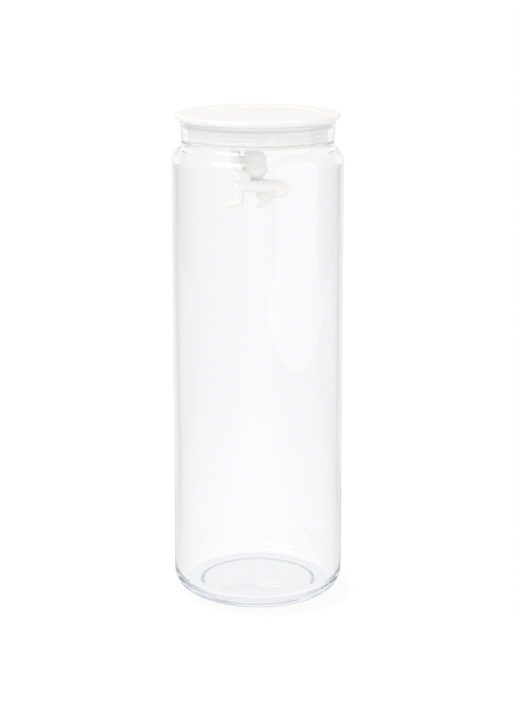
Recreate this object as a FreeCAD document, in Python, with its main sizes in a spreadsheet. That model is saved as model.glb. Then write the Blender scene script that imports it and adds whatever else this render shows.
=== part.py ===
import FreeCAD, Part
import math
import os
import Sketcher

# Lidded glass canister: a straight glass jar with a rounded shoulder and a short wide neck, closed by a
# plastic lid.  The lid is two mouldings, a cover and a plug, with a soft lipped seal in the plug's
# groove.  A plain little figure hangs by its hands under the plug, inside the jar.
# Millimetres, +Z up.  The origin is the centre of the foot ring, on the surface the jar stands on.

SHEET = "Dimensions"

# name, value, meaning
DIMENSIONS = [
    ("body_radius", 52.5, "outside of the straight wall"),
    ("wall", 3.6, "thickness of the straight wall"),
    ("heel_bend", 13.0, "outside rounding between wall and foot"),
    ("foot_inside", 36.5, "inner edge of the foot ring"),
    ("punt_slope", 3.0, "run of the slope inside the foot ring"),
    ("punt_rise", 2.2, "how far the underside is pushed up"),
    ("floor_level", 6.2, "inside floor above the table"),
    ("corner_bend", 8.3, "inside rounding between wall and floor"),
    ("shoulder_level", 272.5, "where the wall starts to turn in"),
    ("shoulder_bend", 7.6, "outside rounding of the shoulder"),
    ("neck_radius", 46.4, "outside of the neck"),
    ("neck_bend", 6.6, "hollow rounding where the neck begins"),
    ("mouth_flare", 0.8, "how far the mouth stands out"),
    ("flare_start", 285.0, "where the neck starts to widen"),
    ("flare_end", 293.5, "where the mouth is full"),
    ("rim_level", 296.9, "top of the glass"),
    ("rim_rounding", 1.5, "rounding of the glass rim"),
    ("foot_rounding", 1.0, "rounding inside the foot ring"),
    ("seat_gap", 0.1, "between the glass rim and the lid"),
    ("seat_flange", 1.4, "thickness of the plug's seat flange"),
    ("lid_radius", 50.1, "outside of the lid's rim"),
    ("lid_height", 4.0, "lid's rim from underside to top"),
    ("roll_top", 1.2, "upper rounding of the lid's rim"),
    ("roll_under", 2.4, "lower rounding of the lid's rim"),
    ("recess_radius", 38.6, "edge of the sunk panel"),
    ("recess_slope", 1.2, "run of the slope down to the panel"),
    ("recess_depth", 0.8, "panel below the rim"),
    ("recess_rounding", 0.8, "rounding of the rim's inner edge"),
    ("dimple_radius", 6.0, "edge of the shallow dimple in the panel"),
    ("dimple_depth", 0.35, "depth of that dimple"),
    ("flange_radius", 47.2, "edge of the plug's seat flange"),
    ("skirt_gap", 0.1, "between seat flange and the lid's skirt"),
    ("plug_radius", 42.4, "outside of the plug"),
    ("plug_wall", 2.5, "thickness of the plug's wall"),
    ("plug_bottom", 283.9, "underside of the plug"),
    ("plug_plate", 2.0, "thickness of the plug's bottom plate"),
    ("plug_rounding", 0.7, "rounding of the plug's lower edge"),
    ("ring_wall", 1.6, "thickness of the cover's locating ring"),
    ("ring_length", 6.0, "length of the cover's locating ring"),
    ("ring_gap", 0.1, "between locating ring and plug wall"),
    ("groove_bottom", 285.1, "lower side of the seal groove"),
    ("groove_top", 294.4, "upper side of the seal groove"),
    ("groove_depth", 1.3, "depth of the seal groove"),
    ("seal_gap", 0.06, "running clearance all round the seal"),
    ("band_drop", 0.4, "seal's band below the plug's outside"),
    ("lip_root", 1.15, "half thickness of a lip at its root"),
    ("lip_tip", 0.3, "half thickness of a lip at its tip"),
    ("lip_pitch", 3.15, "from one seal lip to the next"),
    ("boss_radius", 4.0, "outside of the bosses in the plug"),
    ("boss_height", 4.0, "height of the bosses above the plate"),
    ("peg_radius", 2.0, "pegs over the figure's hands"),
    ("peg_length", 4.8, "how far the pegs reach into the plug"),
    ("peg_gap", 0.05, "clearance round the pegs"),
    ("hand_across", -17.0, "hands and pegs, left of the axis"),
    ("hand_apart", 6.5, "each hand from the middle plane"),
    ("hand_radius", 2.9, "figure's fists"),
]

# The figure hangs side-on.  Each joint of it: name, across, towards the back, up, radius.
FIGURE_JOINTS = [
    ("nape", -4.5, 0.0, 262.0, 2.8),
    ("chest", -5.2, 0.0, 257.2, 4.6),
    ("waist", 4.6, 0.0, 257.0, 3.6),
    ("pelvis", 13.6, 0.0, 254.2, 5.5),
    ("near_shoulder", -6.9, -5.6, 261.6, 2.7),
    ("near_elbow", -13.0, -8.2, 271.6, 2.4),
    ("far_shoulder", -6.9, 5.6, 261.6, 2.7),
    ("far_elbow", -13.0, 8.2, 271.6, 2.4),
    ("near_hip", 10.0, -4.0, 256.4, 3.6),
    ("near_knee", -11.6, -6.0, 256.8, 3.7),
    ("near_ankle", -10.8, -5.8, 246.9, 2.4),
    ("near_toe", -18.6, -6.2, 245.2, 1.7),
    ("far_hip", 13.0, 4.2, 252.8, 4.2),
    ("far_knee", 1.4, 5.8, 249.4, 2.9),
    ("far_ankle", 7.2, 5.8, 246.2, 2.3),
    ("far_toe", 0.9, 6.2, 242.9, 1.8),
]
HEAD = {"across": -2.1, "back": 0.0, "up": 268.3, "long_radius": 8.5, "short_radius": 7.6, "nod": -62.0}

doc = FreeCAD.newDocument("GlassCanister")
sheet = doc.addObject("Spreadsheet::Sheet", SHEET)


def add_cell(row, name, size, meaning):
    """One row of the sheet: the meaning, then the value under its alias."""
    sheet.set(f"A{row}", meaning)
    sheet.set(f"B{row}", str(size))
    sheet.setAlias(f"B{row}", name)


def fill_sheet():
    """All driving dimensions, and the figure's joints, as plain numbers with aliases."""
    row = 1
    for name, size, meaning in DIMENSIONS:
        add_cell(row, name, size, meaning)
        row += 1
    for joint, across, back, up, radius in FIGURE_JOINTS:
        for key, size in (("across", across), ("back", back), ("up", up), ("radius", radius)):
            add_cell(row, f"{joint}_{key}", size, f"figure's {joint}, {key}")
            row += 1
    for key, size in HEAD.items():
        add_cell(row, f"head_{key}", size, f"figure's head, {key}")
        row += 1
    doc.recompute()


def cell(name):
    """The expression that reads one cell of the sheet."""
    return f"{SHEET}.{name}"


def number(expression):
    """The value of an expression, in plain millimetres or degrees."""
    found = sheet.evalExpression(expression)
    return float(getattr(found, "Value", found))


def joined(*terms):
    """Cells added up into one expression; a leading minus subtracts."""
    text = ""
    for term in terms:
        sign = " - " if term.startswith("-") else " + "
        text += sign + cell(term.lstrip("-"))
    return text.removeprefix(" + ")


def origin_plane(body, role):
    """One of the body's own origin planes, such as XZ_Plane."""
    return next(f for f in body.Origin.OriginFeatures if f.Role == role)


def arc_between(start, end, bend):
    """The arc from start to end with radius |bend|: to the left of travel when bend is positive."""
    run = end - start
    half = run.Length / 2
    height = math.sqrt(max(bend * bend - half * half, 0.0))
    side = FreeCAD.Vector(-run.y, run.x, 0).normalize() * math.copysign(height, bend)
    centre = start + run * 0.5 + side
    circle = Part.Circle(centre, FreeCAD.Vector(0, 0, 1), abs(bend))
    first = math.atan2(start.y - centre.y, start.x - centre.x)
    last = math.atan2(end.y - centre.y, end.x - centre.x)
    if bend < 0:
        first, last = last, first
    return Part.ArcOfCircle(circle, first, last)


def bind(sketch, kind, places, expression):
    """A dimension of the sketch, driven by an expression."""
    index = sketch.addConstraint(Sketcher.Constraint(kind, *places, number(expression)))
    sketch.setExpression(f"Constraints[{index}]", expression)


def draw_outline(body, name, corners):
    """A closed sketch in the body's XZ plane through corners (across, up, bend).

    across and up are expressions, "0" on the axis.  bend is the expression of the radius of the arc
    that leads to the next corner, with a leading minus where it turns clockwise, or None where
    a straight line does.
    """
    sketch = body.newObject("Sketcher::SketchObject", name)
    sketch.AttachmentSupport = (origin_plane(body, "XZ_Plane"), [""])
    sketch.MapMode = "FlatFace"
    points = [FreeCAD.Vector(number(a), number(u), 0) for a, u, _ in corners]
    count = len(corners)
    starts, ends = [], []
    for i, (_, _, bend) in enumerate(corners):
        start, end = points[i], points[(i + 1) % count]
        if bend is None:
            sketch.addGeometry(Part.LineSegment(start, end), False)
            starts.append((i, 1))
            ends.append((i, 2))
        else:
            clockwise = bend.startswith("-")
            sketch.addGeometry(arc_between(start, end, number(bend)), False)
            starts.append((i, 2 if clockwise else 1))
            ends.append((i, 1 if clockwise else 2))
    for i, (across, up, bend) in enumerate(corners):
        sketch.addConstraint(Sketcher.Constraint("Coincident", *ends[i - 1], *starts[i]))
        for kind, expression in (("DistanceX", across), ("DistanceY", up)):
            if expression == "0":
                on_axis = "PointOnObject"
                axis = -2 if kind == "DistanceX" else -1
                sketch.addConstraint(Sketcher.Constraint(on_axis, *starts[i], axis))
            else:
                bind(sketch, kind, (-1, 1, *starts[i]), expression)
        if bend is not None:
            bind(sketch, "Radius", (i,), bend.lstrip("-"))
    return sketch


def turn_outline(body, name, corners):
    """The outline turned once round the Z axis."""
    sketch = draw_outline(body, f"{name}_outline", corners)
    turned = body.newObject("PartDesign::Revolution", f"{name}_turned")
    turned.Profile = sketch
    turned.ReferenceAxis = (sketch, ["V_Axis"])
    turned.Angle = 360.0
    doc.recompute()
    return turned


def ring_edges(feature, rings):
    """Names of the circular edges round the Z axis at each (radius, level) pair of expressions."""
    wanted = [(number(radius), number(level)) for radius, level in rings]
    found = []
    for i, edge in enumerate(feature.Shape.Edges):
        curve = edge.Curve
        if not isinstance(curve, Part.Circle) or math.hypot(curve.Center.x, curve.Center.y) > 1e-4:
            continue
        if any(math.hypot(curve.Radius - r, curve.Center.z - z) < 1e-3 for r, z in wanted):
            found.append(f"Edge{i + 1}")
    if len(found) != len(rings):
        raise RuntimeError(f"{feature.Name}: {len(found)} of {len(rings)} edges found")
    return found


def round_rings(body, name, base, rings, radius):
    """Rounds the given rings of the base feature with one radius from the sheet."""
    fillet = body.newObject("PartDesign::Fillet", name)
    fillet.Base = (base, ring_edges(base, rings))
    fillet.setExpression("Radius", cell(radius))
    doc.recompute()
    return fillet


def new_body(label):
    """An empty PartDesign body; its label names the node."""
    body = doc.addObject("PartDesign::Body", f"{label}_body")
    body.Label = label
    return body


def shoulder_points():
    """Expressions of the shoulder: where its two arcs meet, and where the neck's wall begins.

    The outer arcs bend round two centres, one inside the wall and one outside the neck.
    The line between those centres passes through the points where the arcs meet.
    """
    inner_centre = joined("body_radius", "-shoulder_bend")
    run = f"({joined('neck_radius', 'neck_bend', '-body_radius', 'shoulder_bend')})"
    reach = f"({joined('shoulder_bend', 'neck_bend')})"
    rise = f"sqrt({reach}^2 - {run}^2)"
    return inner_centre, run, reach, rise


def shoulder_meeting(radius):
    """The point at this radius from the inner centre, on the line between the two centres."""
    inner_centre, run, reach, rise = shoulder_points()
    across = f"{inner_centre} + ({radius}) * {run} / {reach}"
    up = f"{cell('shoulder_level')} + ({radius}) * {rise} / {reach}"
    return across, up


def make_glass_jar():
    """The glass, as one turned outline with a thick heel, a pushed-up underside and a beaded mouth."""
    body = new_body("glass_jar")
    rise = shoulder_points()[3]
    neck_level = f"{cell('shoulder_level')} + {rise}"
    outer_bend = cell("shoulder_bend")
    inner_bend = joined("shoulder_bend", "-wall")
    outer_meeting = shoulder_meeting(outer_bend)
    inner_meeting = shoulder_meeting(inner_bend)
    bore = joined("body_radius", "-wall")
    mouth = joined("neck_radius", "-wall")
    bead = joined("neck_radius", "mouth_flare")
    corners = [
        ("0", cell("punt_rise"), None),
        (joined("foot_inside", "-punt_slope"), cell("punt_rise"), None),
        (cell("foot_inside"), "0", None),
        (cell("body_radius"), "0", None),
        (cell("body_radius"), cell("shoulder_level"), outer_bend),
        (*outer_meeting, "-" + cell("neck_bend")),
        (cell("neck_radius"), neck_level, None),
        (cell("neck_radius"), cell("flare_start"), None),
        (bead, cell("flare_end"), None),
        (bead, cell("rim_level"), None),
        (mouth, cell("rim_level"), None),
        (mouth, neck_level, joined("neck_bend", "wall")),
        (*inner_meeting, f"-({inner_bend})"),
        (bore, cell("shoulder_level"), None),
        (bore, cell("floor_level"), None),
        ("0", cell("floor_level"), None),
    ]
    turned = turn_outline(body, "glass", corners)
    heel = round_rings(body, "heel", turned, [(cell("body_radius"), "0")], "heel_bend")
    inside = [(bore, cell("floor_level"))]
    corner = round_rings(body, "inside_corner", heel, inside, "corner_bend")
    rim = [(bead, cell("rim_level")), (mouth, cell("rim_level"))]
    mouth_rim = round_rings(body, "mouth_rim", corner, rim, "rim_rounding")
    round_rings(body, "foot", mouth_rim, [(cell("foot_inside"), "0")], "foot_rounding")
    return body


def make_lid_cover():
    """The upper moulding: a sunk panel with a dimple, a rounded rim with a short skirt, a locating ring."""
    body = new_body("lid_cover")
    underside = joined("rim_level", "seat_gap")
    top = joined("rim_level", "seat_gap", "lid_height")
    panel_top = joined("rim_level", "seat_gap", "lid_height", "-recess_depth")
    panel_under = joined("rim_level", "seat_gap", "seat_flange")
    ring_outside = joined("plug_radius", "-plug_wall", "-ring_gap")
    ring_inside = joined("plug_radius", "-plug_wall", "-ring_gap", "-ring_wall")
    ring_end = joined("rim_level", "seat_gap", "seat_flange", "-ring_length")
    recess_top = joined("recess_radius", "recess_slope")
    skirt_inside = joined("flange_radius", "skirt_gap")
    corners = [
        ("0", panel_under, None),
        (ring_inside, panel_under, None),
        (ring_inside, ring_end, None),
        (ring_outside, ring_end, None),
        (ring_outside, panel_under, None),
        (skirt_inside, panel_under, None),
        (skirt_inside, underside, None),
        (cell("lid_radius"), underside, None),
        (cell("lid_radius"), top, None),
        (recess_top, top, None),
        (cell("recess_radius"), panel_top, None),
        ("0", panel_top, None),
    ]
    turned = turn_outline(body, "cover", corners)
    over = round_rings(body, "roll_over", turned, [(cell("lid_radius"), top)], "roll_top")
    under = [(cell("lid_radius"), underside)]
    under = round_rings(body, "roll_under_edge", over, under, "roll_under")
    rounded = round_rings(body, "recess_edge", under, [(recess_top, top)], "recess_rounding")
    volume = rounded.Shape.Volume
    if cut_dimple(body, panel_top).Shape.Volume >= volume:
        raise RuntimeError("the dimple cut nothing")
    return body


def cut_dimple(body, level):
    """A shallow round dimple in the panel, over the middle between the figure's hands."""
    radius = number(cell("dimple_radius"))
    depth = number(cell("dimple_depth"))
    ball = body.newObject("PartDesign::SubtractiveSphere", "dimple")
    ball.Radius = (radius * radius + depth * depth) / (2 * depth)
    centre = FreeCAD.Vector(number(cell("hand_across")), 0, number(level) + ball.Radius.Value - depth)
    ball.Placement.Base = centre
    doc.recompute()
    return ball


def make_lid_plug():
    """The lower moulding: a closed cup with a seat flange, a seal groove and two peg bosses."""
    body = new_body("lid_plug")
    seat = joined("rim_level", "seat_gap")
    seat_top = joined("rim_level", "seat_gap", "seat_flange")
    inside = joined("plug_radius", "-plug_wall")
    plate_top = joined("plug_bottom", "plug_plate")
    groove = joined("plug_radius", "-groove_depth")
    corners = [
        ("0", cell("plug_bottom"), None),
        (cell("plug_radius"), cell("plug_bottom"), None),
        (cell("plug_radius"), cell("groove_bottom"), None),
        (groove, cell("groove_bottom"), None),
        (groove, cell("groove_top"), None),
        (cell("plug_radius"), cell("groove_top"), None),
        (cell("plug_radius"), seat, None),
        (cell("flange_radius"), seat, None),
        (cell("flange_radius"), seat_top, None),
        (inside, seat_top, None),
        (inside, plate_top, None),
        ("0", plate_top, None),
    ]
    turned = turn_outline(body, "plug", corners)
    lower_edge = [(cell("plug_radius"), cell("plug_bottom"))]
    rounded = round_rings(body, "plug_edge", turned, lower_edge, "plug_rounding")
    volume = rounded.Shape.Volume
    boss_length = joined("plug_plate", "boss_height")
    bosses = add_round_pads(body, "bosses", cell("boss_radius"), boss_length)
    if bosses.Shape.Volume <= volume:
        raise RuntimeError("the bosses added nothing")
    volume = bosses.Shape.Volume
    holes = cut_round_holes(body, "peg_holes", joined("peg_radius", "peg_gap"))
    if holes.Shape.Volume >= volume:
        raise RuntimeError("the peg holes cut nothing")
    return body


def peg_circles(body, name, radius):
    """A sketch at the plug's underside with a circle over each of the figure's hands."""
    sketch = body.newObject("Sketcher::SketchObject", name)
    sketch.AttachmentSupport = (origin_plane(body, "XY_Plane"), [""])
    sketch.MapMode = "FlatFace"
    sketch.setExpression("AttachmentOffset.Base.z", cell("plug_bottom"))
    for i, side in enumerate((-1, 1)):
        across = number(cell("hand_across"))
        back = side * number(cell("hand_apart"))
        centre = FreeCAD.Vector(across, back, 0)
        sketch.addGeometry(Part.Circle(centre, FreeCAD.Vector(0, 0, 1), number(radius)), False)
        bind(sketch, "Radius", (i,), radius)
        bind(sketch, "DistanceX", (i, 3, -1, 1), f"-{cell('hand_across')}")
        ends = (-1, 1, i, 3) if side > 0 else (i, 3, -1, 1)
        bind(sketch, "DistanceY", ends, cell("hand_apart"))
    return sketch


def add_round_pads(body, name, radius, length):
    """Round pads from the plug's underside up, over the hands."""
    pad = body.newObject("PartDesign::Pad", name)
    pad.Profile = peg_circles(body, f"{name}_circles", radius)
    pad.setExpression("Length", length)
    doc.recompute()
    return pad


def cut_round_holes(body, name, radius):
    """Blind holes from the plug's underside up, for the pegs."""
    pocket = body.newObject("PartDesign::Pocket", name)
    pocket.Profile = peg_circles(body, f"{name}_circles", radius)
    pocket.Reversed = True
    pocket.setExpression("Length", f"{cell('peg_length')} + {cell('peg_gap')}")
    doc.recompute()
    return pocket


def make_lid_seal():
    """The soft ring in the plug's groove, with three thin lips that wipe the glass."""
    body = new_body("lid_seal")
    bottom = joined("groove_bottom", "seal_gap")
    top = joined("groove_top", "-seal_gap")
    inside = joined("plug_radius", "-groove_depth", "seal_gap")
    band = joined("plug_radius", "-band_drop")
    tip = joined("neck_radius", "-wall", "-seal_gap")
    middle = f"({cell('groove_bottom')} + {cell('groove_top')}) / 2"
    corners = [(inside, bottom, None), (band, bottom, None)]
    for step in (-1, 0, 1):
        level = f"{middle} + {step} * {cell('lip_pitch')}"
        corners.append((band, f"{level} - {cell('lip_root')}", None))
        corners.append((tip, f"{level} - {cell('lip_tip')}", None))
        corners.append((tip, f"{level} + {cell('lip_tip')}", None))
        corners.append((band, f"{level} + {cell('lip_root')}", None))
    corners += [(band, top, None), (inside, top, None)]
    turn_outline(body, "seal", corners)
    return body


def joint_place(joint):
    """Where a joint of the figure is."""
    return FreeCAD.Vector(*(number(cell(f"{joint}_{key}")) for key in ("across", "back", "up")))


def add_ball(joint, place, radius):
    """A ball at a joint, its radius bound to the sheet."""
    ball = doc.addObject("Part::Sphere", f"{joint}_ball")
    ball.setExpression("Radius", radius)
    ball.Placement.Base = place
    return ball


def add_limb(name, start, end, start_radius, end_radius):
    """A tapered round limb between two places."""
    limb = doc.addObject("Part::Cone", name)
    limb.setExpression("Radius1", start_radius)
    limb.setExpression("Radius2", end_radius)
    limb.Height = (end - start).Length
    limb.Placement = FreeCAD.Placement(start, FreeCAD.Rotation(FreeCAD.Vector(0, 0, 1), end - start))
    return limb


def add_head():
    """An egg-shaped head, nodded towards the hands, with no face."""
    head = doc.addObject("Part::Ellipsoid", "head")
    head.setExpression("Radius1", cell("head_long_radius"))
    head.setExpression("Radius2", cell("head_short_radius"))
    head.setExpression("Radius3", cell("head_short_radius"))
    turn = FreeCAD.Rotation(FreeCAD.Vector(0, 1, 0), number(cell("head_nod")))
    head.Placement = FreeCAD.Placement(joint_place("head"), turn)
    return head


def hand_place(side):
    """A fist, pressed up against the plug."""
    across = number(cell("hand_across"))
    back = side * number(cell("hand_apart"))
    up = number(cell("plug_bottom")) - number(cell("hand_radius"))
    return FreeCAD.Vector(across, back, up)


def add_peg(name, place):
    """A round peg from a fist up into the plug."""
    peg = doc.addObject("Part::Cylinder", name)
    peg.setExpression("Radius", cell("peg_radius"))
    peg.setExpression("Height", f"{cell('peg_length')} + {cell('hand_radius')}")
    peg.Placement.Base = place
    return peg


def make_hanging_figure():
    """A plain faceless figure, side-on, hanging by two pegged fists with its knees drawn up."""
    pieces = [add_head()]
    pieces += [add_ball(j[0], joint_place(j[0]), cell(f"{j[0]}_radius")) for j in FIGURE_JOINTS]
    limbs = [("nape", "chest"), ("chest", "waist"), ("waist", "pelvis")]
    for side in ("near", "far"):
        limbs += [
            (f"{side}_shoulder", f"{side}_elbow"),
            (f"{side}_hip", f"{side}_knee"),
            (f"{side}_knee", f"{side}_ankle"),
            (f"{side}_ankle", f"{side}_toe"),
        ]
    for start, end in limbs:
        ends = (joint_place(start), joint_place(end))
        radii = (cell(f"{start}_radius"), cell(f"{end}_radius"))
        pieces.append(add_limb(f"{start}_to_{end}", *ends, *radii))
    for side, sign in (("near", -1), ("far", 1)):
        hand = hand_place(sign)
        elbow = joint_place(f"{side}_elbow")
        wrist_radius = f"{cell('hand_radius')} * 0.75"
        elbow_radius = cell(f"{side}_elbow_radius")
        pieces.append(add_ball(f"{side}_hand", hand, cell("hand_radius")))
        pieces.append(add_limb(f"{side}_forearm", elbow, hand, elbow_radius, wrist_radius))
        pieces.append(add_peg(f"{side}_peg", hand))
        girdle = (joint_place("chest"), joint_place(f"{side}_shoulder"))
        pieces.append(add_limb(f"{side}_girdle", *girdle, elbow_radius, elbow_radius))
    figure = doc.addObject("Part::MultiFuse", "figure_fused")
    figure.Shapes = pieces
    figure.Label = "hanging_figure"
    doc.recompute()
    return figure


def check_document(parts):
    """Stops if any object failed or any sub-part is not one valid solid."""
    for thing in doc.Objects:
        if "Invalid" in thing.State or "Error" in thing.State:
            raise RuntimeError(f"{thing.Name} failed: {thing.State}")
    for part in parts:
        shape = part.Shape
        if shape.isNull() or not shape.isValid() or len(shape.Solids) != 1:
            raise RuntimeError(f"{part.Label} is not one valid solid")


def write_parts(parts):
    """One STEP file per sub-part, named by its label."""
    os.makedirs("parts", exist_ok=True)
    for part in parts:
        part.Shape.exportStep(f"parts/{part.Label}.step")
        size = part.Shape.BoundBox
        print(f"{part.Label}: {part.Shape.Volume / 1000:.1f} cm3, z {size.ZMin:.2f} to {size.ZMax:.2f}")


fill_sheet()
sub_parts = [make_glass_jar(), make_lid_cover(), make_lid_plug(), make_lid_seal(), make_hanging_figure()]
doc.recompute()
check_document(sub_parts)
write_parts(sub_parts)
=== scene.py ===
import math

import bmesh
import bpy
from mathutils import Matrix, Vector


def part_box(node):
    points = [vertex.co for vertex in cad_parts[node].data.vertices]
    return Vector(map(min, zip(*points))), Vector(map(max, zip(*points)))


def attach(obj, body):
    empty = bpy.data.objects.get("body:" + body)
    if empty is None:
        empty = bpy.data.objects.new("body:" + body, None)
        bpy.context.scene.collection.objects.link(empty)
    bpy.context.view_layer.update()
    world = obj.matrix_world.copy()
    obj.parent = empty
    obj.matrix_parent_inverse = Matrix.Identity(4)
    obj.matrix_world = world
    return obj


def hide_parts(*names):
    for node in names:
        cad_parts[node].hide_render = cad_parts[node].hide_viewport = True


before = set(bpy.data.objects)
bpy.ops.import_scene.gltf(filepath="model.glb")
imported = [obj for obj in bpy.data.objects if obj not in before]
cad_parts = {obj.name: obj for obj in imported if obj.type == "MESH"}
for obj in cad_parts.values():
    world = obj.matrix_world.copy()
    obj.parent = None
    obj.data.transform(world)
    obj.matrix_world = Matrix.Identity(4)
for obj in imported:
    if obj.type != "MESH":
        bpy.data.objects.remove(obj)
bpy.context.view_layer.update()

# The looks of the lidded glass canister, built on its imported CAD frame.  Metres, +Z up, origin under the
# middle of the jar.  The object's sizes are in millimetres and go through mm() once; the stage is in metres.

AROUND = 256          # segments round every turned piece
ARC_STEP = 5.0        # degrees per segment of a rounded corner
RUN_STEP = 6.0        # longest straight segment of an outline
SAME_POINT = 0.001    # outline points closer than this are one


def mm(value):
    """Millimetres to metres."""
    return value / 1000.0


# ---------------------------------------------------------------- sizes read from the frame

JAR_LOW, JAR_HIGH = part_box("glass_jar")
COVER_LOW, COVER_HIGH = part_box("lid_cover")
PLUG_LOW, PLUG_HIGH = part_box("lid_plug")
SEAL_LOW, SEAL_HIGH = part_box("lid_seal")

BODY_RADIUS = JAR_HIGH.x * 1000
RIM_LEVEL = JAR_HIGH.z * 1000
COVER_RADIUS = COVER_HIGH.x * 1000
COVER_TOP = COVER_HIGH.z * 1000
COVER_RING_END = COVER_LOW.z * 1000
PLUG_BOTTOM = PLUG_LOW.z * 1000
SEAT_TOP = PLUG_HIGH.z * 1000
SEAL_BOTTOM = SEAL_LOW.z * 1000
SEAL_TOP = SEAL_HIGH.z * 1000
LIP_RADIUS = SEAL_HIGH.x * 1000

WALL = 3.6
WALL_WAVES = (0.10, 0.06)
WAVES_BETWEEN = (20.0, 255.0)
WAVES_FADE = 40.0
HEEL_BEND = 13.0
FOOT_INSIDE = 36.5
PUNT_RUN = 3.0
PUNT_RISE = 2.2
FLOOR_LEVEL = 6.2
BASE_SAG = 1.0
BASE_WAVE = 0.45
CORNER_BEND = 8.3
SHOULDER_LEVEL = 272.5
SHOULDER_BEND = 7.6
INSIDE_TIGHTER = 0.54
INSIDE_DROP = 1.3
NECK_RADIUS = 46.4
NECK_BEND = 6.6
FLARE = 0.8
FLARE_START = 285.0
FLARE_END = 293.5
RIM_ROUNDING = 1.5

LID_UNDERSIDE = RIM_LEVEL + 0.1
ROLL_TOP = 1.2
ROLL_UNDER = 2.4
RECESS_RADIUS = 38.6
RECESS_SLOPE = 1.2
RECESS_DEPTH = 0.8
DIMPLE_RADIUS = 6.0
DIMPLE_DEPTH = 0.35
DIMPLE_GRAIN = 0.5    # distance between the panel's rings there
FLANGE_RADIUS = PLUG_HIGH.y * 1000
PLUG_RADIUS = 42.4
PLUG_WALL = 2.5
PLUG_PLATE = 2.0
RING_WALL = 1.6
LID_GAP = 0.1
GROOVE_BOTTOM = 285.1
GROOVE_TOP = 294.4
GROOVE_DEPTH = 1.3
BAND_DROP = 0.4
LIP_PITCH = 3.15
HAND_ACROSS = -17.0
HAND_APART = 6.5
HAND_RADIUS = 2.9
PEG_RADIUS = 2.0
PEG_LENGTH = 4.8
PEG_GAP = 0.05
BOSS_RADIUS = 4.0
BOSS_HEIGHT = 4.0

# The hanging figure's joints: across, towards the back, up, radius.
JOINTS = {
    "nape": (-4.5, 0.0, 262.0, 2.8),
    "chest": (-5.2, 0.0, 257.2, 4.6),
    "waist": (4.6, 0.0, 257.0, 3.6),
    "pelvis": (13.6, 0.0, 254.2, 5.5),
    "near_shoulder": (-6.9, -5.6, 261.6, 2.7),
    "near_elbow": (-13.0, -8.2, 271.6, 2.4),
    "far_shoulder": (-6.9, 5.6, 261.6, 2.7),
    "far_elbow": (-13.0, 8.2, 271.6, 2.4),
    "near_hip": (10.0, -4.0, 256.4, 3.6),
    "near_knee": (-11.6, -6.0, 256.8, 3.7),
    "near_ankle": (-10.8, -5.8, 246.9, 2.4),
    "near_toe": (-18.6, -6.2, 245.2, 1.7),
    "far_hip": (13.0, 4.2, 252.8, 4.2),
    "far_knee": (1.4, 5.8, 249.4, 2.9),
    "far_ankle": (7.2, 5.8, 246.2, 2.3),
    "far_toe": (0.9, 6.2, 242.9, 1.8),
}
HEAD_PLACE = (-2.1, 0.0, 268.3)
HEAD_RADII = (7.6, 7.6, 8.5)
HEAD_NOD = -62.0
FIGURE_GRAIN = 0.35   # size of the cells the figure's skin is made of


# ---------------------------------------------------------------- outlines and turned meshes


def rounded_corner(before, corner, after, bend):
    """Points of the arc that rounds one corner of an outline."""
    back = (before - corner).normalized()
    ahead = (after - corner).normalized()
    half = back.angle(ahead) / 2
    if bend <= 0 or abs(half - math.pi / 2) < 1e-4:
        return [corner]
    reach = bend / math.tan(half)
    centre = corner + (back + ahead).normalized() * (bend / math.sin(half))
    first = corner + back * reach - centre
    turn = (math.pi - 2 * half) * math.copysign(1, back.cross(ahead))
    steps = max(2, round(math.degrees(abs(turn)) / ARC_STEP))
    spins = (Matrix.Rotation(-turn * i / steps, 2) for i in range(steps + 1))
    return [centre + spin @ first for spin in spins]


def outline(corners, closed=False):
    """Points (radius, level) of an outline through corners (radius, level, bend), runs split evenly."""
    places = [Vector(c[:2]) for c in corners]
    count = len(places)
    rounded = []
    for i, place in enumerate(places):
        at_end = not closed and i in (0, count - 1)
        bend = 0.0 if at_end else corners[i][2]
        before = places[i - 1] if not at_end else place
        after = places[(i + 1) % count] if not at_end else place
        rounded += [place] if at_end else rounded_corner(before, place, after, bend)
    points = []
    runs = zip(rounded, rounded[1:] + ([rounded[0]] if closed else []))
    for start, end in runs:
        if (end - start).length < SAME_POINT:
            continue
        pieces = math.ceil((end - start).length / RUN_STEP)
        points += [start.lerp(end, i / pieces) for i in range(pieces)]
    return points if closed else points + [rounded[-1]]


def turned(name, points, closed=False, shift=None):
    """A mesh turned round the Z axis; shift(angle, radius, level) may move a ring point outwards."""
    mesh = bmesh.new()
    rings = []
    for point in points:
        if point.x < 1e-6:
            rings.append([mesh.verts.new((0, 0, mm(point.y)))])
            continue
        ring = []
        for i in range(AROUND):
            angle = 2 * math.pi * i / AROUND
            radius = point.x + (shift(angle, point.x, point.y) if shift else 0.0)
            place = (mm(radius) * math.cos(angle), mm(radius) * math.sin(angle), mm(point.y))
            ring.append(mesh.verts.new(place))
        rings.append(ring)
    pairs = list(zip(rings, rings[1:] + ([rings[0]] if closed else [])))
    for low, high in pairs if closed else pairs[: len(rings) - 1]:
        for i in range(AROUND):
            j = (i + 1) % AROUND
            corners = [low[i % len(low)], low[j % len(low)], high[j % len(high)], high[i % len(high)]]
            mesh.faces.new(list(dict.fromkeys(corners)))
    bmesh.ops.recalc_face_normals(mesh, faces=mesh.faces)
    data = bpy.data.meshes.new(name)
    mesh.to_mesh(data)
    mesh.free()
    data.polygons.foreach_set("use_smooth", [True] * len(data.polygons))
    piece = bpy.data.objects.new(name, data)
    bpy.context.scene.collection.objects.link(piece)
    return piece


# ---------------------------------------------------------------- materials


def new_material(name):
    """A material with its Principled shader."""
    material = bpy.data.materials.new(name)
    material.use_nodes = True
    return material, material.node_tree.nodes, material.node_tree.links


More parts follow.
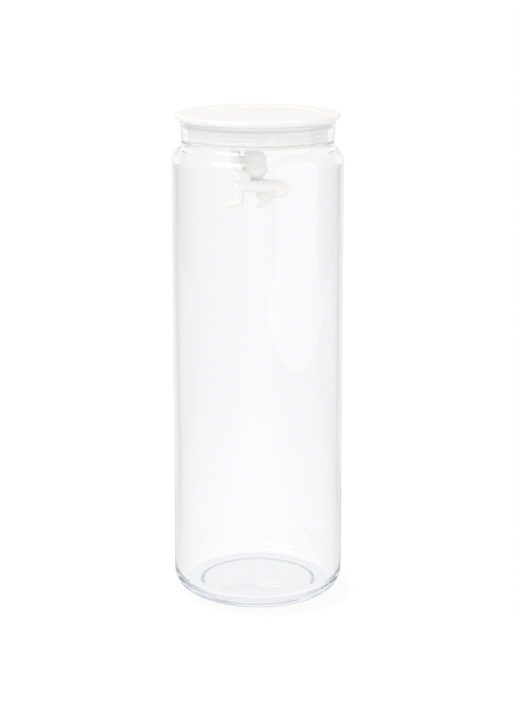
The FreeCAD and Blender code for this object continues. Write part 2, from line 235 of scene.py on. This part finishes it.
def clear_glass():
    """Clear glass with a faint cool tint, so that thick glass and grazing walls come out darker."""
    material, nodes, links = new_material("clear_glass")
    shader = nodes["Principled BSDF"]
    shader.inputs["Base Color"].default_value = (1, 1, 1, 1)
    shader.inputs["Roughness"].default_value = 0.0
    shader.inputs["IOR"].default_value = 1.5
    shader.inputs["Transmission Weight"].default_value = 1.0
    tint = nodes.new("ShaderNodeVolumeAbsorption")
    tint.inputs["Color"].default_value = (0.52, 0.64, 0.74, 1)
    tint.inputs["Density"].default_value = 1.6
    links.new(tint.outputs["Volume"], nodes["Material Output"].inputs["Volume"])
    return material


def moulded_plastic(name, colour, roughness, grain):
    """Opaque moulded plastic: a little uneven in gloss, with a fine moulding texture."""
    material, nodes, links = new_material(name)
    shader = nodes["Principled BSDF"]
    shader.inputs["Base Color"].default_value = (*colour, 1)
    shader.inputs["IOR"].default_value = 1.49
    place = nodes.new("ShaderNodeTexCoord")
    uneven = nodes.new("ShaderNodeTexNoise")
    uneven.inputs["Scale"].default_value = 40.0
    gloss = nodes.new("ShaderNodeMapRange")
    gloss.inputs["To Min"].default_value = roughness - 0.04
    gloss.inputs["To Max"].default_value = roughness + 0.06
    fine = nodes.new("ShaderNodeTexNoise")
    fine.inputs["Scale"].default_value = 2500.0
    bump = nodes.new("ShaderNodeBump")
    bump.inputs["Strength"].default_value = grain
    bump.inputs["Distance"].default_value = mm(0.02)
    links.new(place.outputs["Object"], uneven.inputs["Vector"])
    links.new(place.outputs["Object"], fine.inputs["Vector"])
    links.new(uneven.outputs["Fac"], gloss.inputs["Value"])
    links.new(gloss.outputs["Result"], shader.inputs["Roughness"])
    links.new(fine.outputs["Fac"], bump.inputs["Height"])
    links.new(bump.outputs["Normal"], shader.inputs["Normal"])
    return material


def dress(piece, material, body, slot, *nodes):
    """Gives a piece its material and its body, and hides the CAD nodes it stands for; the slot is not used.
    """
    piece.data.materials.clear()
    piece.data.materials.append(material)
    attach(piece, body)
    if nodes:
        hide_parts(*nodes)
    return piece


# ---------------------------------------------------------------- glass jar


def blown_unevenness(angle, radius, level):
    """The inside of the wall isn't perfectly round; it settles down at the neck and at the floor."""
    if radius < BODY_RADIUS - WALL - 1.0 or radius > BODY_RADIUS - WALL + 0.1:
        return 0.0
    low, high = WAVES_BETWEEN
    fade = min(1.0, (level - low) / WAVES_FADE, (high - level) / WAVES_FADE)
    if fade <= 0:
        return 0.0
    broad, narrow = WALL_WAVES
    wave = broad * math.sin(3 * angle + 0.9) + narrow * math.sin(5 * angle + 2.1 + level / 90.0)
    return fade * wave


def settle_base(glass):
    """The base is a little thicker in the middle and wavy underneath, as moulded glass cools."""
    reach = mm(FOOT_INSIDE - PUNT_RUN - 1)
    for vert in glass.data.vertices:
        x, y, z = vert.co
        out = math.hypot(x, y) / reach
        if abs(z - mm(PUNT_RISE)) > mm(0.01) or out > 1:
            continue
        wave = math.sin(95 * x + 70 * y + 0.4) + 0.6 * math.sin(150 * y - 60 * x + 1.9)
        vert.co.z -= mm(BASE_SAG + BASE_WAVE * wave) * (1 - out**3)


def shoulder_corners(level, outer, inner, low_bend, high_bend):
    """The two corners whose bends make the shoulder's curve between two radii."""
    run = inner + high_bend - (outer - low_bend)
    reach = low_bend + high_bend
    slope = math.acos(run / reach)
    neck_level = level + reach * math.sin(slope)
    rise = math.tan(slope / 2)
    low = (outer, level + low_bend * rise, low_bend)
    return low, (inner, neck_level - high_bend * rise, high_bend)


def make_glass():
    """The jar as one closed skin: outside from the underside to the rim, then down the inside."""
    bore = BODY_RADIUS - WALL
    mouth = NECK_RADIUS - WALL
    outside = shoulder_corners(SHOULDER_LEVEL, BODY_RADIUS, NECK_RADIUS, SHOULDER_BEND, NECK_BEND)
    inside_bends = (SHOULDER_BEND - INSIDE_TIGHTER, NECK_BEND + INSIDE_TIGHTER)
    inside = shoulder_corners(SHOULDER_LEVEL - INSIDE_DROP, bore, mouth, *inside_bends)
    corners = [
        (0, PUNT_RISE, 0),
        (FOOT_INSIDE - PUNT_RUN, PUNT_RISE, 2.0),
        (FOOT_INSIDE, 0, 1.0),
        (BODY_RADIUS, 0, HEEL_BEND),
        *outside,
        (NECK_RADIUS, FLARE_START, 20.0),
        (NECK_RADIUS + FLARE, FLARE_END, 10.0),
        (NECK_RADIUS + FLARE, RIM_LEVEL, RIM_ROUNDING),
        (mouth, RIM_LEVEL, RIM_ROUNDING),
        *reversed(inside),
        (bore, FLOOR_LEVEL, CORNER_BEND),
        (0, FLOOR_LEVEL, 0),
    ]
    glass = turned("glass_body", outline(corners), shift=blown_unevenness)
    settle_base(glass)
    glass.visible_shadow = False
    glass.visible_diffuse = False
    return dress(glass, clear_glass(), "jar", "clear_glass", "glass_jar")


# ---------------------------------------------------------------- lid


def smooth_by_angle(piece, degrees):
    """Smooth shading that keeps edges sharper than the angle."""
    with bpy.context.temp_override(object=piece, active_object=piece, selected_editable_objects=[piece]):
        bpy.ops.object.shade_smooth_by_angle(angle=math.radians(degrees))


def cut_away(piece, cutter):
    """Cuts one closed mesh out of another and removes the cutter."""
    cut = piece.modifiers.new("cut", "BOOLEAN")
    cut.operation = "DIFFERENCE"
    cut.solver = "EXACT"
    cut.object = cutter
    with bpy.context.temp_override(object=piece, active_object=piece):
        bpy.ops.object.modifier_apply(modifier=cut.name)
    bpy.data.objects.remove(cutter)


def merge_meshes(name, pieces):
    """Joins finished meshes into the first one."""
    first = pieces[0]
    with bpy.context.temp_override(object=first, active_object=first, selected_editable_objects=pieces):
        bpy.ops.object.join()
    first.name = name
    return first


def make_cover(material):
    """The upper moulding: sunk panel, rounded rim with a short skirt, locating ring."""
    panel_under = SEAT_TOP
    panel_top = COVER_TOP - RECESS_DEPTH
    ring_outside = PLUG_RADIUS - PLUG_WALL - LID_GAP
    ring_inside = ring_outside - RING_WALL
    skirt_inside = FLANGE_RADIUS + LID_GAP
    corners = [
        (0, panel_under, 0),
        (ring_inside, panel_under, 0.3),
        (ring_inside, COVER_RING_END, 0.25),
        (ring_outside, COVER_RING_END, 0.25),
        (ring_outside, panel_under, 0),
        (skirt_inside, panel_under, 0),
        (skirt_inside, LID_UNDERSIDE, 0.15),
        (COVER_RADIUS, LID_UNDERSIDE, ROLL_UNDER),
        (COVER_RADIUS, COVER_TOP, ROLL_TOP),
        (RECESS_RADIUS + RECESS_SLOPE, COVER_TOP, 0.8),
        (RECESS_RADIUS, panel_top, 0.6),
        *((radius, panel_top, 0) for radius in dimple_rings()),
        (0, panel_top, 0),
    ]
    cover = turned("cover_moulding", outline(corners))
    press_dimple(cover, panel_top)
    return dress(cover, material, "lid", "lid_plastic", "lid_cover")


def dimple_rings():
    """Radii of the panel's rings, close together where the dimple is."""
    middle = abs(HAND_ACROSS)
    count = math.ceil((DIMPLE_RADIUS + 1) / DIMPLE_GRAIN)
    return [middle - step * DIMPLE_GRAIN for step in range(-count, count + 1)]


def press_dimple(cover, panel_top):
    """Presses a shallow dimple into the panel."""
    centre = Vector((mm(HAND_ACROSS), 0, mm(panel_top)))
    for vert in cover.data.vertices:
        reach = (vert.co - centre).length / mm(DIMPLE_RADIUS)
        if abs(vert.co.z - centre.z) < mm(0.01) and reach < 1:
            vert.co.z -= mm(DIMPLE_DEPTH) * (1 - reach * reach) ** 1.4


def post(name, x, y, low, high, radius, bevel):
    """A round post with a rounded top edge, standing on its own axis."""
    corners = [(0, low, 0), (radius, low, 0), (radius, high, bevel), (0, high, 0)]
    piece = turned(name, outline(corners))
    piece.data.transform(Matrix.Translation((mm(x), mm(y), 0)))
    return piece


def make_plug(material):
    """The lower moulding: a closed cup with a seat flange, a seal groove and two peg bosses."""
    inside = PLUG_RADIUS - PLUG_WALL
    plate_top = PLUG_BOTTOM + PLUG_PLATE
    groove = PLUG_RADIUS - GROOVE_DEPTH
    corners = [
        (0, PLUG_BOTTOM, 0),
        (PLUG_RADIUS, PLUG_BOTTOM, 0.7),
        (PLUG_RADIUS, GROOVE_BOTTOM, 0.12),
        (groove, GROOVE_BOTTOM, 0.1),
        (groove, GROOVE_TOP, 0.1),
        (PLUG_RADIUS, GROOVE_TOP, 0.2),
        (PLUG_RADIUS, LID_UNDERSIDE, 0.3),
        (FLANGE_RADIUS, LID_UNDERSIDE, 0.15),
        (FLANGE_RADIUS, SEAT_TOP, 0.15),
        (inside, SEAT_TOP, 0.2),
        (inside, plate_top, 0.5),
        (0, plate_top, 0),
    ]
    plug = turned("plug_moulding", outline(corners))
    boss_top = plate_top + BOSS_HEIGHT
    bosses = []
    for side in (-1, 1):
        place = (HAND_ACROSS, side * HAND_APART)
        bosses.append(post("boss", *place, plate_top - 0.5, boss_top, BOSS_RADIUS, 0.3))
    plug = merge_meshes("plug_moulding", [plug, *bosses])
    for side in (-1, 1):
        place = (HAND_ACROSS, side * HAND_APART)
        hole_top = PLUG_BOTTOM + PEG_LENGTH + PEG_GAP
        hole = post("hole", *place, PLUG_BOTTOM - 1, hole_top, PEG_RADIUS + PEG_GAP, 0.2)
        cut_away(plug, hole)
    smooth_by_angle(plug, 35)
    return dress(plug, material, "lid", "lid_plastic", "lid_plug")


def make_seal(material):
    """The soft ring in the plug's groove, with three rounded lips."""
    inside = PLUG_RADIUS - GROOVE_DEPTH + 0.06
    band = PLUG_RADIUS - BAND_DROP
    middle = (SEAL_BOTTOM + SEAL_TOP) / 2
    corners = [(inside, SEAL_BOTTOM, 0.1), (band, SEAL_BOTTOM, 0.15)]
    for step in (-1, 0, 1):
        level = middle + step * LIP_PITCH
        corners += [
            (band, level - 1.15, 0.3),
            (LIP_RADIUS, level - 0.42, 0.25),
            (LIP_RADIUS, level + 0.42, 0.25),
            (band, level + 1.15, 0.3),
        ]
    corners += [(band, SEAL_TOP, 0.15), (inside, SEAL_TOP, 0.1)]
    seal = turned("seal_ring", outline(corners, closed=True), closed=True)
    return dress(seal, material, "seal", "seal_rubber", "lid_seal")


# ---------------------------------------------------------------- hanging figure


def ball(name, place, radii, tilt=0.0):
    """An ellipsoid at a place, tilted about Y."""
    bpy.ops.mesh.primitive_uv_sphere_add(segments=48, ring_count=24, radius=1.0)
    piece = bpy.context.object
    piece.name = name
    size = Matrix.Diagonal((*(mm(r) for r in radii), 1))
    turn = Matrix.Rotation(math.radians(tilt), 4, "Y")
    piece.data.transform(Matrix.Translation(Vector(place) / 1000) @ turn @ size)
    return piece


def limb(name, start, end):
    """A tapered limb between two joints (x, y, z, radius), round at both ends."""
    first, last = Vector(start[:3]), Vector(end[:3])
    run = last - first
    bpy.ops.mesh.primitive_cone_add(vertices=48, radius1=start[3], radius2=end[3], depth=run.length)
    piece = bpy.context.object
    piece.name = name
    turn = run.to_track_quat("Z", "Y").to_matrix().to_4x4()
    shrink = Matrix.Scale(0.001, 4)
    piece.data.transform(shrink @ Matrix.Translation((first + last) / 2) @ turn)
    ends = [ball(f"{name}_{i}", j[:3], (j[3],) * 3) for i, j in enumerate((start, end))]
    return [piece, *ends]


def hand_joint(side):
    """A fist pressed up against the plug's underside."""
    return (HAND_ACROSS, side * HAND_APART, PLUG_BOTTOM - HAND_RADIUS, HAND_RADIUS)


def arm_and_leg(side, sign):
    """The limbs of one side of the figure."""
    joint = {key: JOINTS[f"{side}_{key}"] for key in ("shoulder", "elbow", "hip", "knee", "ankle", "toe")}
    hand = hand_joint(sign)
    wrist = (*hand[:3], hand[3] * 0.72)
    girdle = ((*JOINTS["chest"][:3], 2.6), (*joint["shoulder"][:3], 2.6))
    chain = [
        girdle,
        (joint["shoulder"], joint["elbow"]),
        (joint["elbow"], wrist),
        (joint["hip"], joint["knee"]),
        (joint["knee"], joint["ankle"]),
        (joint["ankle"], joint["toe"]),
    ]
    pieces = []
    for i, (start, end) in enumerate(chain):
        pieces += limb(f"{side}_limb_{i}", start, end)
    fist = ball(f"{side}_fist", hand[:3], (HAND_RADIUS, HAND_RADIUS * 0.9, HAND_RADIUS))
    return [*pieces, fist]


def make_figure(material):
    """A plain faceless figure: overlapping limbs melted into one soft-edged skin, then two pegs."""
    pieces = [ball("head", HEAD_PLACE, HEAD_RADII, HEAD_NOD)]
    for start, end in (("nape", "chest"), ("chest", "waist"), ("waist", "pelvis")):
        pieces += limb(f"{start}_{end}", JOINTS[start], JOINTS[end])
    pieces += arm_and_leg("near", -1) + arm_and_leg("far", 1)
    figure = merge_meshes("figure", pieces)
    skin = figure.modifiers.new("skin", "REMESH")
    skin.mode = "VOXEL"
    skin.voxel_size = mm(FIGURE_GRAIN)
    soften = figure.modifiers.new("soften", "SMOOTH")
    soften.factor = 0.5
    soften.iterations = 5
    with bpy.context.temp_override(object=figure, active_object=figure):
        bpy.ops.object.modifier_apply(modifier=skin.name)
        bpy.ops.object.modifier_apply(modifier=soften.name)
    figure.data.polygons.foreach_set("use_smooth", [True] * len(figure.data.polygons))
    pegs = []
    for side in (-1, 1):
        x, y, z, _ = hand_joint(side)
        pegs.append(post("peg", x, y, z, PLUG_BOTTOM + PEG_LENGTH, PEG_RADIUS, 0.3))
    figure = merge_meshes("figure", [figure, *pegs])
    return dress(figure, material, "lid", "figure_plastic", "hanging_figure")


# ---------------------------------------------------------------- stage, lights and camera

CAMERA_PLACE = Vector((0.0001, -1.152, 0.4315))
CAMERA_PITCH = 11.66
CAMERA_LENS = 96.1
CAMERA_SHIFT = -0.1

KEY_TARGET = Vector((0.0, 0.0, 0.28))
HORIZON_FILL = (1.07, 1.065, 1.055)
ZENITH_FILL = (1.12, 1.115, 1.11)
FLOOR_ALBEDO = 0.18
FLOOR_GLOW = 0.83
FLOOR_TINT = (0.985, 0.985, 1.0)
SLANT_REACH = 0.25                           # slant is measured from this far in front of the middle
SLANT_GLOW = ((0.06, 0.96), (0.6, 0.66))     # (slant, share of the glow) where the dimming starts and ends
SHADOW_MIDDLE = (0.006, -0.003, 0.0)
SHADOW_GLOW = ((0.046, 0.92), (0.063, 1.0))  # (distance, share of the glow) from the middle to the edge
SHADE_RADIUS = 0.047
SHADE_TINT = (0.965, 0.97, 1.0)
SHADE_GLOW = 0.91
GLOSS_MIDDLE = (0.12, 0.12, 0.12)
GLOSS_BEHIND = (0.85, 0.85, 0.85)
GLASS_BOUNCES = 400


def glowing(name, colour, strength, albedo=0.0):
    """A surface that gives off its own light and may take some too."""
    material, nodes, _ = new_material(name)
    shader = nodes["Principled BSDF"]
    shader.inputs["Base Color"].default_value = (albedo, albedo, albedo, 1)
    shader.inputs["Roughness"].default_value = 1.0
    shader.inputs["Specular IOR Level"].default_value = 0.0
    shader.inputs["Emission Color"].default_value = (*colour, 1)
    shader.inputs["Emission Strength"].default_value = strength
    return material


def ramp(nodes, links, source, start, end):
    """A smooth step: from value start[1] at source start[0] to value end[1] at source end[0]."""
    step = nodes.new("ShaderNodeMapRange")
    step.interpolation_type = "SMOOTHSTEP"
    for socket, value in zip(("From Min", "To Min", "From Max", "To Max"), (*start, *end)):
        step.inputs[socket].default_value = value
    links.new(source, step.inputs["Value"])
    return step.outputs["Result"]


def calculate(nodes, links, operation, *sources):
    """One arithmetic step on other nodes' results."""
    step = nodes.new("ShaderNodeMath")
    step.operation = operation
    for socket, source in zip(step.inputs, sources):
        links.new(source, socket)
    return step.outputs["Value"]


def floor_glow(steps):
    """Turns shares of the floor's glow into strengths."""
    return [(place, FLOOR_GLOW * share) for place, share in steps]


def sweep_white():
    """White with the jar's faint shadow; seen through glass, it dims towards the sides."""
    material = glowing("sweep_white", FLOOR_TINT, 1.0, albedo=FLOOR_ALBEDO)
    nodes, links = material.node_tree.nodes, material.node_tree.links
    place = nodes.new("ShaderNodeTexCoord")
    split = nodes.new("ShaderNodeSeparateXYZ")
    links.new(place.outputs["Object"], split.inputs["Vector"])
    from_middle = calculate(nodes, links, "ABSOLUTE", split.outputs["Y"])
    far = calculate(nodes, links, "ADD", from_middle)
    far.node.inputs[1].default_value = SLANT_REACH
    slant = calculate(nodes, links, "DIVIDE", split.outputs["X"], far)
    sideways = calculate(nodes, links, "ABSOLUTE", slant)
    dimmed = ramp(nodes, links, sideways, *floor_glow(SLANT_GLOW))
    rays = nodes.new("ShaderNodeLightPath")
    apart = nodes.new("ShaderNodeVectorMath")
    apart.operation = "DISTANCE"
    apart.inputs[1].default_value = SHADOW_MIDDLE
    links.new(place.outputs["Object"], apart.inputs[0])
    shadowed = ramp(nodes, links, apart.outputs["Value"], *floor_glow(SHADOW_GLOW))
    choice = nodes.new("ShaderNodeMix")
    links.new(rays.outputs["Is Transmission Ray"], choice.inputs["Factor"])
    links.new(shadowed, choice.inputs["A"])
    links.new(dimmed, choice.inputs["B"])
    links.new(choice.outputs["Result"], nodes["Principled BSDF"].inputs["Emission Strength"])
    return material


def fading_white():
    """White that fades out in front of the jar but not behind it, for its reflections."""
    material = glowing("fading_white", (1, 1, 1), 1.0)
    nodes, links = material.node_tree.nodes, material.node_tree.links
    place = nodes.new("ShaderNodeTexCoord")
    away = nodes.new("ShaderNodeVectorMath")
    away.operation = "LENGTH"
    split = nodes.new("ShaderNodeSeparateXYZ")
    links.new(place.outputs["Object"], away.inputs[0])
    links.new(place.outputs["Object"], split.inputs["Vector"])
    front = ramp(nodes, links, away.outputs["Value"], (0.33, 0.6), (0.65, 0.14))
    behind = ramp(nodes, links, split.outputs["Y"], (-0.1, 0.0), (0.3, 0.8))
    strength = calculate(nodes, links, "MAXIMUM", front, behind)
    links.new(strength, nodes["Principled BSDF"].inputs["Emission Strength"])
    return material


def stage_plate(name, width, depth, material):
    """A flat rectangle of the stage, facing +Z before it is placed."""
    bpy.ops.mesh.primitive_grid_add(x_subdivisions=1, y_subdivisions=1, size=1)
    plate = bpy.context.object
    plate.name = name
    plate.data.transform(Matrix.Diagonal((width, depth, 1, 1)))
    plate.data.materials.append(material)
    return plate


def seen_only_by(thing, *rays):
    """Shows a stage object to the named kinds of ray only."""
    for ray in ("camera", "diffuse", "glossy", "transmission", "volume_scatter", "shadow"):
        setattr(thing, f"visible_{ray}", ray in rays)


def make_floor():
    """A plain white floor, its nearer part that gloss shows, and the shade under the jar."""
    floor = stage_plate("floor", 60, 60, sweep_white())
    floor.location.z = -0.0003
    floor.visible_glossy = False
    near = stage_plate("near_floor", 2, 4, fading_white())
    near.location.z = -0.0004
    seen_only_by(near, "glossy")
    bpy.ops.mesh.primitive_circle_add(vertices=96, radius=SHADE_RADIUS, fill_type="NGON")
    shade = bpy.context.object
    shade.name = "shade_under_jar"
    shade.location.z = -0.0001
    shade.data.materials.append(glowing("shaded_white", SHADE_TINT, SHADE_GLOW))
    seen_only_by(shade, "transmission")


def aim(thing, target):
    """Turns a light or plate to face a point."""
    thing.rotation_euler = (target - thing.location).to_track_quat("-Z", "Y").to_euler()


def add_softbox(name, place, size, power, glare):
    """A rectangular soft light aimed at the neck of the jar; gloss shows it at its own brightness."""
    light = bpy.data.lights.new(name, "AREA")
    light.shape = "RECTANGLE"
    light.size, light.size_y = size
    light.energy = power
    thing = bpy.data.objects.new(name, light)
    bpy.context.scene.collection.objects.link(thing)
    thing.visible_camera = False
    thing.visible_glossy = False
    face = stage_plate(f"{name}_face", *size, glowing(f"{name}_white", (1, 1, 1), glare))
    seen_only_by(face, "glossy")
    for part in (thing, face):
        part.location = place
        aim(part, KEY_TARGET)


def make_lights():
    """A soft key high on the left, a tall card on the right that only gloss shows."""
    add_softbox("key", Vector((-0.62, -0.62, 0.95)), (0.8, 0.5), 1.7, 4.0)
    white = glowing("card_white", (1, 1, 1), 0.85)
    upright = stage_plate("right_card", 1.2, 1.3, white)
    upright.location = (0.86, -0.62, 0.65)
    upright.rotation_euler = (math.radians(90), 0, math.radians(54))
    foot = stage_plate("right_card_foot", 1.2, 0.42, white)
    foot.location = (0.69, -0.5, 0.0)
    foot.rotation_euler = (0, 0, math.radians(54))
    for card in (upright, foot):
        seen_only_by(card, "glossy")


def make_world():
    """White all round for the eye and through glass, a fill light, dimmer in front for reflections."""
    world = bpy.data.worlds.new("studio")
    bpy.context.scene.world = world
    world.use_nodes = True
    nodes, links = world.node_tree.nodes, world.node_tree.links
    rays = nodes.new("ShaderNodeLightPath")
    fill = nodes["Background"]
    links.new(sky_colour(nodes, links, "Z", HORIZON_FILL, ZENITH_FILL), fill.inputs["Color"])
    gloss = nodes.new("ShaderNodeBackground")
    links.new(sky_colour(nodes, links, "Y", GLOSS_MIDDLE, GLOSS_BEHIND), gloss.inputs["Color"])
    white = nodes.new("ShaderNodeBackground")
    white.inputs["Color"].default_value = (1, 1, 1, 1)
    last = fill
    for kind, shown in (("Is Glossy Ray", gloss), ("Is Transmission Ray", white), ("Is Camera Ray", white)):
        mix = nodes.new("ShaderNodeMixShader")
        links.new(rays.outputs[kind], mix.inputs["Fac"])
        links.new(last.outputs[0], mix.inputs[1])
        links.new(shown.outputs["Background"], mix.inputs[2])
        last = mix
    links.new(last.outputs[0], nodes["World Output"].inputs["Surface"])


def sky_colour(nodes, links, axis, start, end):
    """A colour that goes from one to another along an axis of the sky, from level or sideways on."""
    place = nodes.new("ShaderNodeTexCoord")
    split = nodes.new("ShaderNodeSeparateXYZ")
    blend = nodes.new("ShaderNodeMix")
    blend.data_type = "RGBA"
    blend.inputs["A"].default_value = (*start, 1)
    blend.inputs["B"].default_value = (*end, 1)
    links.new(place.outputs["Generated"], split.inputs["Vector"])
    links.new(split.outputs[axis], blend.inputs["Factor"])
    return blend.outputs["Result"]


def make_camera():
    """A long lens in front of the jar, a little above the lid, looking slightly down."""
    data = bpy.data.cameras.new("camera")
    data.lens = CAMERA_LENS
    data.sensor_width = 36.0
    data.shift_y = CAMERA_SHIFT
    camera = bpy.data.objects.new("camera", data)
    bpy.context.scene.collection.objects.link(camera)
    camera.location = CAMERA_PLACE
    camera.rotation_euler = (math.radians(90 - CAMERA_PITCH), 0, 0)
    bpy.context.scene.camera = camera


def set_light_paths():
    """Enough bounces for rays that wander in thick glass, and plain colours."""
    scene = bpy.context.scene
    scene.cycles.max_bounces = GLASS_BOUNCES
    scene.cycles.transmission_bounces = GLASS_BOUNCES
    scene.cycles.glossy_bounces = GLASS_BOUNCES
    scene.cycles.caustics_reflective = False
    scene.cycles.caustics_refractive = False
    scene.view_settings.view_transform = "Standard"


make_glass()
lid_plastic = moulded_plastic("lid_plastic", (0.86, 0.855, 0.845), 0.28, 0.15)
make_cover(lid_plastic)
make_plug(lid_plastic)
make_seal(moulded_plastic("seal_rubber", (0.84, 0.84, 0.82), 0.45, 0.1))
make_figure(moulded_plastic("figure_plastic", (0.89, 0.885, 0.86), 0.4, 0.1))
make_floor()
make_world()
make_lights()
make_camera()
set_light_paths()
